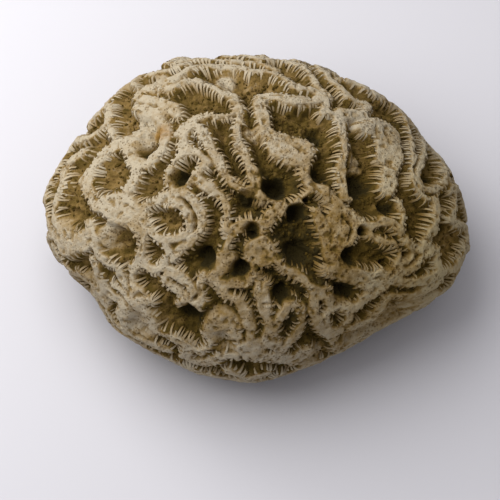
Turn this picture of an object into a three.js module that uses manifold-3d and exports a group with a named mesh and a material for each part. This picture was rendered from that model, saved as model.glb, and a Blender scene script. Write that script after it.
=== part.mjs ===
// A worn brain coral that grew as one piece: a low dome covered in winding ridges, cut off flat
// where it grew on the rock. Millimetres, +Z up. The origin is the middle of the flat cut.

import * as THREE from 'three';
import { mergeVertices } from 'three/addons/utils/BufferGeometryUtils.js';
import Module from 'manifold-3d';

// Driving dimensions of the dome, an ellipsoid whose middle lies above the cut
const HALF_LENGTH = 42.8;
const HALF_WIDTH = 34.8;
const HALF_HEIGHT = 25;
const CUT_BELOW_MIDDLE = 16;

// The relief: ridge crests follow the dome, and valleys and bored holes go in from it
const VALLEY_DEPTH = 4.2;
const WALL_RUN = 2;
const SURFACE_DETAIL = 22;
const CREST_STEP = 0.5;

// The ridges of the top are laid out on a drawing sheet through the middle of the dome. The sheet
// leans back, so that the line square to it rises at SHEET_ELEVATION towards -Y. On the sheet the
// first number runs along +X and the second up the sheet.
const SHEET_ELEVATION = THREE.MathUtils.degToRad(62);
const UP_Y = Math.sin(SHEET_ELEVATION);
const UP_Z = Math.cos(SHEET_ELEVATION);

const CORAL_COLOUR = 0xb9a98a;

// The dome's outline on the sheet, anticlockwise from its left end
const OUTLINE = [
  [-42.6, 3.4], [-41.2, -6.6], [-32.8, -16.2], [-28.2, -22.6], [-13.2, -30.6], [-1.2, -33],
  [16.8, -27.2], [28.8, -20.6], [39.8, -13.6], [43, -3.6], [40.4, 7.4], [34.4, 15.4],
  [24.8, 25.4], [15.8, 29.4], [3, 32.7], [-9, 32.6], [-18.2, 31.8], [-23.2, 29.2],
  [-31.2, 22.4], [-39.2, 11.4],
];

// Ridge crests on the sheet: half the width of the flat crest, then the points it winds through
const SHEET_RIDGES = [
  // left end
  [1.2, [[-37.5, 16], [-41, 11], [-42.2, 5], [-41.5, -2], [-41, -5.5], [-38, -10], [-33, -13.5],
      [-31, -16]]],
  [1.3, [[-35, 13], [-38, 10.5], [-39, 6], [-40.5, 1.5], [-40, -1.5], [-38.5, -3]]],
  [1.2, [[-37.5, 16], [-35.5, 15.5], [-31, 18], [-29.8, 20], [-30, 22.5]]],
  [1.1, [[-34.5, 19], [-30.2, 23], [-27, 26.5], [-25, 28.2]]],
  [2.2, [[-38.6, -4], [-35.5, -4.2], [-34.5, -5], [-38.4, -6.4]]],
  [1.3, [[-33.6, -1.6], [-31.6, -7.4], [-30, -9.2], [-27.6, -10.6], [-26.8, -13], [-24.6, -16.6]]],
  [1.4, [[-32.8, -9], [-30.2, -14], [-26.8, -18.4], [-27.6, -20.2], [-26.4, -22.6]]],
  [1.4, [[-31.2, -15.8], [-29.5, -20], [-26.8, -22.8], [-18, -26.6]]],
  // the ring and the curl above it
  [1.6, [[-27.5, 14.8], [-30.5, 13], [-33, 9], [-33.7, 5.5], [-32.2, 3.5], [-29.5, 3.2], [-26.5, 5],
    [-24.3, 8.5], [-24.6, 11]]],
  [1.5, [[-23.8, 22.2], [-21, 21.5], [-18.5, 18.5], [-18.5, 15.5], [-21, 11], [-22.8, 10.3],
    [-24.5, 11], [-26.2, 14.2], [-28.4, 14.8]]],
  [1.1, [[-30, 22.5], [-29.5, 18], [-28.5, 15]]],
  [1, [[-25, 28.2], [-24, 26], [-23.8, 22.2]]],
  [2.2, [[-32.2, 2.8], [-27.6, 1], [-24, -1.4], [-23, -3]]],
  [1.4, [[-27, 4.2], [-23.6, 1.2], [-22.4, -1], [-23, -6.2], [-23.4, -8.6], [-24.6, -10.2]]],
  // back of the top
  [1.3, [[-23.8, 24.2], [-22.5, 25.5], [-17.5, 26], [-13.5, 27.4], [-11.5, 27.4], [-7, 25.4],
    [-4.8, 24.2], [-3.6, 22.4]]],
  [1.2, [[-15.6, 16.8], [-12.5, 19.5], [-10, 20.4], [-7.5, 20.2], [-5.2, 20.6], [-3.6, 22.4]]],
  [1.2, [[-22, 29], [-17.5, 29.8], [-14, 31]]],
  [1.5, [[-23.4, 24], [-20.2, 23.4], [-17.6, 22.4], [-16, 20.6]]],
  [1.3, [[-17, 27.5], [-13, 29.8], [-7, 30.6], [-3.5, 30.4], [-1.2, 29.6], [3.2, 29.4], [9, 26],
    [11.5, 25.6], [13.2, 24.8], [14, 22.8], [13.8, 21]]],
  [1.1, [[-18.2, 31.4], [-12, 32], [-5, 31.7], [1.5, 31], [4, 30]]],
  [1.1, [[1.2, 32.2], [5, 32], [10, 30.2], [13, 26.2], [14.8, 24.4]]],
  [1.2, [[12.5, 30.5], [16.8, 26.4], [18.8, 24.2], [22.3, 22.6], [21.6, 21], [19, 21], [14, 21.2]]],
  [1.1, [[16.8, 28.2], [19.2, 27.6], [25.5, 24.4], [29, 21.5], [31, 17.5], [31.5, 9], [32.5, 5.5],
    [34, 4], [36, 3.4]]],
  // middle of the top
  [1.6, [[13.8, 23.8], [8.5, 23.2], [3.2, 24.2], [1.2, 24]]],
  [1.7, [[1.2, 24], [1, 21.4], [1.6, 18.8], [3.2, 16.6], [8.6, 15], [10.4, 13.6], [9.8, 9], [11, 7],
    [15, 3.6]]],
  [2.5, [[4.2, 15], [6, 12.8], [7.8, 11.6]]],
  [1.4, [[16.8, 21.2], [17.5, 16], [17.8, 13.6], [16.8, 8.8], [18, 3.8]]],
  [1.4, [[-3.4, 22], [-3.6, 17], [-3.2, 14], [-1.8, 11.4], [0, 6.2], [0.8, 4]]],
  [1.5, [[-14, 13], [-14.6, 15], [-14.2, 17.2], [-12.6, 18.2], [-11, 16.8], [-8.2, 12.2],
    [-5.2, 7.2], [-3.2, 6], [1.2, 4]]],
  [1.2, [[-14, 13], [-17, 9], [-17.6, 6.8], [-16.4, 5.2], [-14.4, 5.4], [-12.2, 8.2]]],
  [1.3, [[-14, 13], [-11.5, 12.3], [-10, 10.8], [-12.2, 8], [-8.4, 5], [-6.4, 2.5], [-5.4, -2.5],
    [-6, -8], [-8.6, -12.6]]],
  [1.5, [[-16.5, 4.8], [-20, 3.2], [-23.6, 1.2]]],
  [1.8, [[-5.4, -2.8], [-1.2, -1.6], [1.5, -1.6], [3.8, 0.8], [5.6, 2]]],
  [1, [[1.2, 4], [5.6, 2.2], [7.8, 2.8], [11.2, 5.8]]],
  // rosettes left of the middle
  [1.5, [[-22, 1.8], [-20, 2.8], [-17.5, 3], [-15, 2], [-13.6, -0.5], [-13.9, -2.8], [-18, -4.8],
    [-20.6, -3.2], [-22.2, -1.6]]],
  [1.5, [[-17.6, 3], [-15.6, 4.8], [-13.2, 3.8], [-11.6, 1.8], [-11.3, -2.8], [-15, -6.5],
    [-16.8, -8.4]]],
  [1.4, [[-18, -4.8], [-17.6, -7.5], [-19.2, -10.6], [-21.2, -10.6], [-23, -9]]],
  [1.5, [[-19.2, -10.6], [-17.2, -11], [-13.4, -14], [-13.4, -16.4], [-14.8, -17.8]]],
  [1.4, [[-23, -9], [-24.7, -11], [-24.5, -13.5], [-22.6, -16.6], [-21.2, -17.2]]],
  [1.2, [[-17.2, -11], [-18.4, -12.5], [-17, -14.4], [-12, -18]]],
  [1.3, [[-8.6, -12.6], [-10.2, -12], [-11.4, -14], [-10.8, -16.2], [-12, -18]]],
  // front of the middle
  [1.5, [[1.2, -4.6], [-0.6, -5.8], [-1, -7.8], [0.4, -9.2], [2.4, -9], [3, -6.8], [1.6, -5]]],
  [1.1, [[-1, -7.8], [0, -12], [0.8, -17.2], [2.6, -22], [2, -24.5], [3.2, -26]]],
  [1.4, [[-8.6, -12.6], [-6.8, -13.8], [-2.2, -13.4], [-0.4, -12]]],
  [1.6, [[-6.8, -13.8], [-6, -15.8], [-3.2, -17.2], [-1.2, -22.6], [-0.8, -25.6], [0, -28]]],
  [1.3, [[3, -6.8], [5.2, -10.4], [9, -12.4], [12.2, -15.2], [14, -14.8]]],
  [1.4, [[4.2, -25.4], [3.8, -22.8], [4.8, -20.2], [6, -18.2], [7.6, -17.6], [8.9, -19.5],
    [8.8, -22], [6.8, -25.4], [5, -26.8], [3.2, -26]]],
  [1.2, [[1.8, -13.8], [2.4, -18.6], [3.8, -22.8]]],
  [1.4, [[12.2, -15.2], [11.4, -17.4], [12.8, -22], [15.8, -24.8], [16, -26.6]]],
  [1.3, [[-24.6, -16.6], [-21.4, -20.2], [-20, -22.8], [-15.6, -24.6], [-11.2, -27.2]]],
  [1.3, [[-28.6, -13.6], [-24.6, -16.6], [-22.6, -17]]],
  [1.3, [[-11.2, -27.2], [-9.6, -25.4], [-10, -23.4], [-8.8, -21.8], [-6.6, -21], [-4.4, -22],
    [-3.4, -24.2], [-2, -28.2]]],
  [1.6, [[-13.4, -26.2], [-14, -28.2], [-11.6, -29.4], [-8.8, -29], [-6.8, -27.6], [-4.4, -28]]],
  [1.8, [[0, -28], [5.6, -28.6], [8.4, -28.8], [9.6, -27.2]]],
  [1.5, [[-5.6, -31], [-1.4, -32.2], [2.4, -31.2]]],
  // right of the middle
  [1.9, [[15, 3.6], [16.4, 1.8], [15.8, -0.4], [17, -2.6], [16.4, -5.2], [14.8, -10.6]]],
  [1.6, [[12.2, 0.8], [13.4, -2.2], [14.4, -5.2], [14.8, -8]]],
  [1.3, [[15, 3.6], [20, -0.6], [22.4, -1.6], [27.2, -1.4], [30.2, -5.2], [31.6, -6.6]]],
  [1.1, [[28.4, 2.8], [29.5, 0], [29, -3]]],
  [1.2, [[20, -0.6], [20.2, -2.8], [17.8, -6.6], [17.4, -9], [18.8, -10.8], [25.6, -11.4],
    [27.8, -10.2]]],
  [1.1, [[23.2, -3.8], [27.8, -6.2], [29, -8.2], [27.8, -10.2]]],
  [1.9, [[14.8, -10.6], [19.6, -12.4], [24, -14], [25.4, -13.8]]],
  [1.5, [[12.2, -15.2], [16.4, -17.6], [19.2, -18.4], [21.6, -17.2], [25.4, -13.8], [29.2, -11.4]]],
  [1.3, [[16.4, -17.6], [14.2, -20.2], [14.8, -22.6], [16.6, -23.2], [18.6, -21], [19.2, -18.4]]],
  [2, [[22.4, 17.8], [24.4, 18.6], [26.4, 18], [27.7, 16], [27.4, 10.4], [26, 5.8]]],
  [2.1, [[24.6, 17], [25.6, 14.4], [26, 11.6]]],
  // right end
  [1.1, [[30.4, 21.8], [32.4, 19.4], [34, 16.2], [33.8, 13], [32.6, 8], [33.6, 5.6]]],
  [1.2, [[34, 16], [37, 12.5], [38.4, 8.8], [37.8, 6.5], [35.8, 5.3], [33.6, 5.6]]],
  [1.2, [[38.4, 8.8], [40.4, 4], [40.2, 1.4], [38.8, -1], [40.8, -1.6], [42.6, -2.6], [42.4, -5.6],
    [40.2, -10.2]]],
  [1.4, [[36, 3.4], [36, 0.8], [35, -4.4], [33.6, -6.2], [31.6, -6.6]]],
  [1.3, [[30.2, -5.2], [31.4, -7.2], [30.6, -9], [28.8, -10.2], [29.2, -11.4], [31.2, -10.6],
    [34.8, -7.2], [36.2, -6.6], [37, -10.6]]],
  [1.4, [[27.2, -12.4], [30.8, -13.3], [34.4, -12.4], [40.2, -10.2]]],
  [1.3, [[19.2, -22.6], [23.6, -20.2], [26.8, -16.2], [32, -15.6], [37.2, -12.8]]],
  [1.2, [[41.4, -8.2], [39.2, -13.8], [33.6, -17.4], [24.8, -22.6], [16.4, -27]]],
];

// Holes bored into the valleys, on the sheet: place, radius, depth below the valley
const BORED_HOLES = [
  [4, 6, 2.2, 3], [8, 0.6, 1.6, 3], [-0.8, -2.8, 1.4, 2.4], [10.2, 3.2, 0.6, 2.5],
  [18.8, -8, 1.6, 2.5], [21.4, -3, 1, 2.6], [26.8, -10, 0.9, 2.6], [30.4, -7.8, 0.7, 2.4],
  [-3.2, -10.8, 1.6, 2.2], [-13.8, -20.2, 2.4, 2.2], [-27.8, -5, 2.4, 1.8], [-15.2, 7.8, 1.6, 1.6],
  [21.2, 6.6, 2.6, 1.8], [8.6, -7.6, 2.2, 2.2], [-10.6, -8.6, 1.8, 2.2], [-22.2, 13.4, 1.4, 2],
  [38.4, -2.8, 1.4, 2], [26.8, 1.4, 1.4, 1.6], [-1.8, 3.6, 1.6, 1.8], [5, -16, 1.4, 2.2],
  [35.6, 8.2, 1.6, 1.6], [12.8, 8.4, 1.8, 1.4], [12.8, 17, 2.1, 1.5], [17.8, -15.8, 2, 1.6],
];

// Ridge crests on the flanks, by azimuth from +X and latitude above the dome's middle, in degrees
const FLANK_RIDGES = [
  // right flank
  [1.3, [[-12, 4], [-8, -3], [-13, -10], [-8, -17], [-11, -24], [-8, -34]]],
  [1.2, [[2, 12], [6, 5], [1, -2], [5, -9], [1, -16], [5, -23], [3, -34]]],
  [1.4, [[18, 6], [13, 0], [18, -7], [13, -14], [18, -21], [16, -34]]],
  [1.3, [[25, 7], [30, 2], [26, -5], [31, -12], [26, -19], [29, -26], [27, -34]]],
  [1.1, [[18, -7], [22, -9], [26, -5]]],
  [1.3, [[37, 12], [41, 5], [37, -1], [41, -7], [50, -8], [55, -2], [50, 3]]],
  [1.3, [[41, -7], [38, -14], [43, -20], [40, -27], [42, -34]]],
  [1.2, [[52, -15], [48, -21], [53, -27], [51, -34]]],
  // back
  [1.4, [[67, 14], [63, 7], [67, 0], [62, -7], [66, -14], [61, -21], [65, -27], [63, -34]]],
  [1.5, [[75, 15], [72, 8], [77, 2], [86, 1], [91, 6], [88, 12]]],
  [1.3, [[77, 2], [74, -5], [79, -11], [75, -18], [79, -25], [76, -34]]],
  [1.2, [[79, -11], [87, -9], [92, -14], [88, -20], [91, -26]]],
  [1.4, [[88, 25], [95, 19], [101, 13], [98, 5], [103, -1], [99, -8], [104, -14], [100, -21],
    [104, -27], [101, -34]]],
  [1.3, [[121, 21], [114, 14], [117, 6], [112, -1], [117, -8], [112, -15], [116, -22], [113, -34]]],
  [1.2, [[117, -8], [125, -9], [129, -15], [125, -21], [129, -28], [127, -34]]],
  [1.3, [[131, 12], [127, 5], [131, -1], [128, -5]]],
  // left flank
  [1.4, [[142, 10], [138, 3], [142, -4], [138, -11], [142, -18], [138, -25], [141, -34]]],
  [1.2, [[151, 8], [148, 1], [153, -5], [149, -12], [153, -19], [149, -26], [152, -34]]],
  [1.3, [[158, 6], [162, 0], [159, -6], [163, -13], [160, -20], [165, -27], [163, -34]]],
  [1.1, [[163, -13], [169, -10], [173, -4]]],
  [1.3, [[178, 6], [173, -4], [177, -12], [172, -19], [176, -26], [174, -34]]],
  [1.4, [[190, 8], [187, 0], [191, -7], [186, -14], [190, -21], [187, -34]]],
  [1.3, [[203, 5], [199, -2], [203, -9], [198, -16], [202, -23], [199, -34]]],
  // worn keel along the front
  [2, [[208, -3], [218, -10], [228, -8], [238, -11], [248, -9]]],
  [2.2, [[248, -9], [258, -13], [270, -14], [282, -13], [291, -9]]],
  [2, [[291, -9], [300, -12], [312, -9], [322, -6], [332, -4]]],
];

// Short ridges that run from the keel down to the cut
const FRONT_RIDGES = 10;
const FRONT_FIRST_AZIMUTH = 214;
const FRONT_AZIMUTH_STEP = 13;
const FRONT_CREST = 1.7;
const FRONT_STRAY = 2.6;

const onSheet = (point) => new THREE.Vector3(
  point.x,
  point.y * UP_Y + point.z * UP_Z,
  point.z * UP_Y - point.y * UP_Z,
);

const offSheet = (u, v, w) => new THREE.Vector3(u, v * UP_Y - w * UP_Z, v * UP_Z + w * UP_Y);

const smoothStep = (value) => THREE.MathUtils.smoothstep(value, 0, 1);

function closedCurve(points) {
  return new THREE.CatmullRomCurve3(points.map(([u, v]) => new THREE.Vector3(u, v, 0)), true);
}

// How far the outline stands out of the ellipsoid's own outline, by angle round the sheet
function outlineFactors(count) {
  const sheetHalfWidth = Math.hypot(HALF_WIDTH * UP_Y, HALF_HEIGHT * UP_Z);
  const angles = closedCurve(OUTLINE).getPoints(count).map((point) => ({
    angle: Math.atan2(point.y, point.x),
    factor: Math.hypot(point.x / HALF_LENGTH, point.y / sheetHalfWidth),
  }));
  return angles.sort((one, other) => one.angle - other.angle);
}

const OUTLINE_FACTORS = outlineFactors(360);

function outlineFactor(u, v) {
  const angle = Math.atan2(v, u);
  const after = OUTLINE_FACTORS.findIndex((entry) => entry.angle >= angle);
  const high = OUTLINE_FACTORS[after < 0 ? 0 : after];
  const low = OUTLINE_FACTORS.at(after <= 0 ? -1 : after - 1);
  const turn = 2 * Math.PI;
  const gap = (high.angle - low.angle + turn) % turn;
  const part = gap > 0 ? ((angle - low.angle + turn) % turn) / gap : 0;
  return THREE.MathUtils.lerp(low.factor, high.factor, part);
}

// The smooth dome's surface along a direction from its middle
function domePoint(direction) {
  const sheet = onSheet(direction);
  const factor = outlineFactor(sheet.x, sheet.y);
  const round = offSheet(sheet.x / factor, sheet.y / factor, sheet.z);
  const reach = 1 / Math.hypot(round.x / HALF_LENGTH, round.y / HALF_WIDTH, round.z / HALF_HEIGHT);
  return direction.clone().multiplyScalar(reach);
}

// The smooth dome's surface above a point of the sheet, or its rim beyond the outline
function domeAboveSheet(u, v) {
  const factor = outlineFactor(u, v);
  const up = v / factor;
  const square = (UP_Z / HALF_WIDTH) ** 2 + (UP_Y / HALF_HEIGHT) ** 2;
  const linear = 2 * up * UP_Y * UP_Z * (HALF_HEIGHT ** -2 - HALF_WIDTH ** -2);
  const rest = (u / factor / HALF_LENGTH) ** 2 + (up * UP_Y / HALF_WIDTH) ** 2
    + (up * UP_Z / HALF_HEIGHT) ** 2 - 1;
  const root = Math.sqrt(Math.max(0, linear ** 2 - 4 * square * rest));
  const w = (root - linear) / (2 * square);
  return domePoint(offSheet(u, v, w).normalize());
}

function domeAtAngles(azimuth, latitude) {
  const around = THREE.MathUtils.degToRad(azimuth);
  const above = THREE.MathUtils.degToRad(latitude);
  return domePoint(new THREE.Vector3(
    Math.cos(above) * Math.cos(around),
    Math.cos(above) * Math.sin(around),
    Math.sin(above),
  ));
}

// Points close together along one ridge, on the smooth dome
function crestSamples(points, toDome) {
  const curve = new THREE.CatmullRomCurve3(points.map(([a, b]) => new THREE.Vector3(a, b, 0)));
  const rough = curve.getPoints(4 * points.length).map((point) => toDome(point.x, point.y));
  let length = 0;
  for (let i = 1; i < rough.length; i += 1) {
    length += rough[i].distanceTo(rough[i - 1]);
  }
  return curve.getPoints(Math.ceil(length / CREST_STEP)).map((point) => toDome(point.x, point.y));
}

function frontRidges() {
  return Array.from({ length: FRONT_RIDGES }, (_, i) => {
    const azimuth = FRONT_FIRST_AZIMUTH + FRONT_AZIMUTH_STEP * i + FRONT_STRAY * Math.sin(2.4 * i);
    return [FRONT_CREST, [[azimuth, -10], [azimuth + 4, -17], [azimuth - 1, -24], [azimuth + 2, -34]]];
  });
}

function crestsFrom(ridges, toDome) {
  return ridges.map(([half, points]) => ({ half, samples: crestSamples(points, toDome) }));
}

const CRESTS = [
  ...crestsFrom(SHEET_RIDGES, domeAboveSheet),
  ...crestsFrom([...FLANK_RIDGES, ...frontRidges()], domeAtAngles),
];

const HOLES = BORED_HOLES.map(([u, v, radius, depth]) => ({
  centre: domeAboveSheet(u, v),
  radius,
  depth,
}));

function distanceToCrest(point) {
  let nearest = Infinity;
  for (const { half, samples } of CRESTS) {
    for (const sample of samples) {
      nearest = Math.min(nearest, point.distanceTo(sample) - half);
    }
  }
  return nearest;
}

function depthAt(point) {
  let depth = VALLEY_DEPTH * smoothStep(distanceToCrest(point) / WALL_RUN);
  for (const hole of HOLES) {
    const off = point.distanceTo(hole.centre) / hole.radius;
    depth += hole.depth * (1 - smoothStep(off - 0.5));
  }
  return depth;
}

// A fine ball, each of its points moved out to the dome and in by the depth of the relief there
function ridgedBall() {
  const ball = new THREE.IcosahedronGeometry(1, SURFACE_DETAIL);
  ball.deleteAttribute('normal');
  ball.deleteAttribute('uv');
  const geometry = mergeVertices(ball);
  const position = geometry.getAttribute('position');
  const direction = new THREE.Vector3();
  for (let i = 0; i < position.count; i += 1) {
    direction.fromBufferAttribute(position, i).normalize();
    const surface = domePoint(direction);
    surface.addScaledVector(direction, -depthAt(surface));
    position.setXYZ(i, surface.x, surface.y, surface.z);
  }
  return geometry;
}

function manifoldFrom(wasm, geometry) {
  return new wasm.Manifold(new wasm.Mesh({
    numProp: 3,
    vertProperties: new Float32Array(geometry.getAttribute('position').array),
    triVerts: new Uint32Array(geometry.getIndex().array),
  }));
}

function geometryFrom(solid) {
  const mesh = solid.getMesh();
  const geometry = new THREE.BufferGeometry();
  geometry.setAttribute('position', new THREE.BufferAttribute(mesh.vertProperties, 3));
  geometry.setIndex(new THREE.BufferAttribute(mesh.triVerts, 1));
  return geometry;
}

function boxBelowTheCut() {
  const side = 4 * HALF_LENGTH;
  const box = new THREE.BoxGeometry(side, side, side);
  box.deleteAttribute('normal');
  box.deleteAttribute('uv');
  return mergeVertices(box.translate(0, 0, -side / 2 - CUT_BELOW_MIDDLE));
}

async function cutCoral() {
  const wasm = await Module();
  wasm.setup();
  const whole = manifoldFrom(wasm, ridgedBall());
  return geometryFrom(whole.subtract(manifoldFrom(wasm, boxBelowTheCut())));
}

// Puts the middle of the coral's length and width over the origin, and the cut at height 0
function standOnOrigin(geometry) {
  geometry.computeBoundingBox();
  const { min, max } = geometry.boundingBox;
  return geometry.translate(-(min.x + max.x) / 2, -(min.y + max.y) / 2, -min.z);
}

async function makeCoral() {
  const geometry = standOnOrigin(await cutCoral());
  const material = new THREE.MeshStandardMaterial({
    color: CORAL_COLOUR,
    roughness: 0.9,
    metalness: 0,
    flatShading: true,
  });
  const coral = new THREE.Mesh(geometry, material);
  coral.name = 'brain_coral';
  return coral;
}

const part = new THREE.Group();
part.add(await makeCoral());

export default part;
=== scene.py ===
import itertools
import math

import bpy
import numpy as np
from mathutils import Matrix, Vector


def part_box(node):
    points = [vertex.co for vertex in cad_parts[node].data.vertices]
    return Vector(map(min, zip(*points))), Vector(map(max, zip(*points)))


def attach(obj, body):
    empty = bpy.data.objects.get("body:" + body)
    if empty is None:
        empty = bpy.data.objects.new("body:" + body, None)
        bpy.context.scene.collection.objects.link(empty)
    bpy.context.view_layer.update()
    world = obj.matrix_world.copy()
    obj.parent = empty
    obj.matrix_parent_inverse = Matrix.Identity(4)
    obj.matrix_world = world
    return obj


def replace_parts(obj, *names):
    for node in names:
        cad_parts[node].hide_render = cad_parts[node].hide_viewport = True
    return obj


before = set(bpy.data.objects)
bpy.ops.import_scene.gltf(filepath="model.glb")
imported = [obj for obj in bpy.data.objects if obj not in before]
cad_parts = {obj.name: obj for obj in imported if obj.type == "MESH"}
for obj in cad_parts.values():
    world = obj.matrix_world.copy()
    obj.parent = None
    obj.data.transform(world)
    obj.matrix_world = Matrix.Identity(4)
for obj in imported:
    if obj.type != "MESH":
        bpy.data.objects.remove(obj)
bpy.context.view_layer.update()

# A worn brain coral: a low dome of winding ridges, with thin blades, the septa, standing in combs
# along the valley walls and crumbs of spongy columella along the valley floors. Everything is
# worked out in millimetres about the middle of the dome, and placed in metres at the end.

# The dome, an ellipsoid cut off flat below its middle, as the CAD part has it
HALF_LENGTH = 42.8
HALF_WIDTH = 34.8
HALF_HEIGHT = 25
CUT_BELOW_MIDDLE = 16
HALVES = np.array([HALF_LENGTH, HALF_WIDTH, HALF_HEIGHT])

# The sheet that the ridges are laid out on leans back, square to this rise towards -Y
SHEET_ELEVATION = math.radians(62)
UP_Y = math.sin(SHEET_ELEVATION)
UP_Z = math.cos(SHEET_ELEVATION)

# The relief, by distance from a crest's flat top
FLOOR_DEPTH = 2.3
FLOOR_START = 0.1
FLOOR_RUN = 2.0
GAP_DEPTH = 1.15
GAP_START = -0.55
GAP_RUN = 0.7
CREST_WEAR = 0.15
CREST_STEP = 0.35
WARP = 0.45
WARP_SIZE = 2.3

# The surface mesh of the body
BALL_DIVISIONS = 150

# The septa
SEPTUM_PITCH = 0.72
SEPTUM_START = -1.1
SEPTUM_REACH = 3.4
SEPTUM_STATIONS = 8
MARCH_STEPS = 15
MINOR_SHARE = 0.5

# The columella
CRUMBS = 1500
CRUMB_SIZES = (0.14, 0.34)

CAMERA_DISTANCE = 1.5
FRAME_WIDTH = 0.1
SENSOR_WIDTH = 36
MM = 0.001

# The dome's outline on the sheet, anticlockwise from its left end
OUTLINE = [
  [-42.6, 3.4], [-41.2, -6.6], [-32.8, -16.2], [-28.2, -22.6], [-13.2, -30.6], [-1.2, -33],
  [16.8, -27.2], [28.8, -20.6], [39.8, -13.6], [43, -3.6], [40.4, 7.4], [34.4, 15.4],
  [24.8, 25.4], [15.8, 29.4], [3, 32.7], [-9, 32.6], [-18.2, 31.8], [-23.2, 29.2],
  [-31.2, 22.4], [-39.2, 11.4],
]

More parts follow.
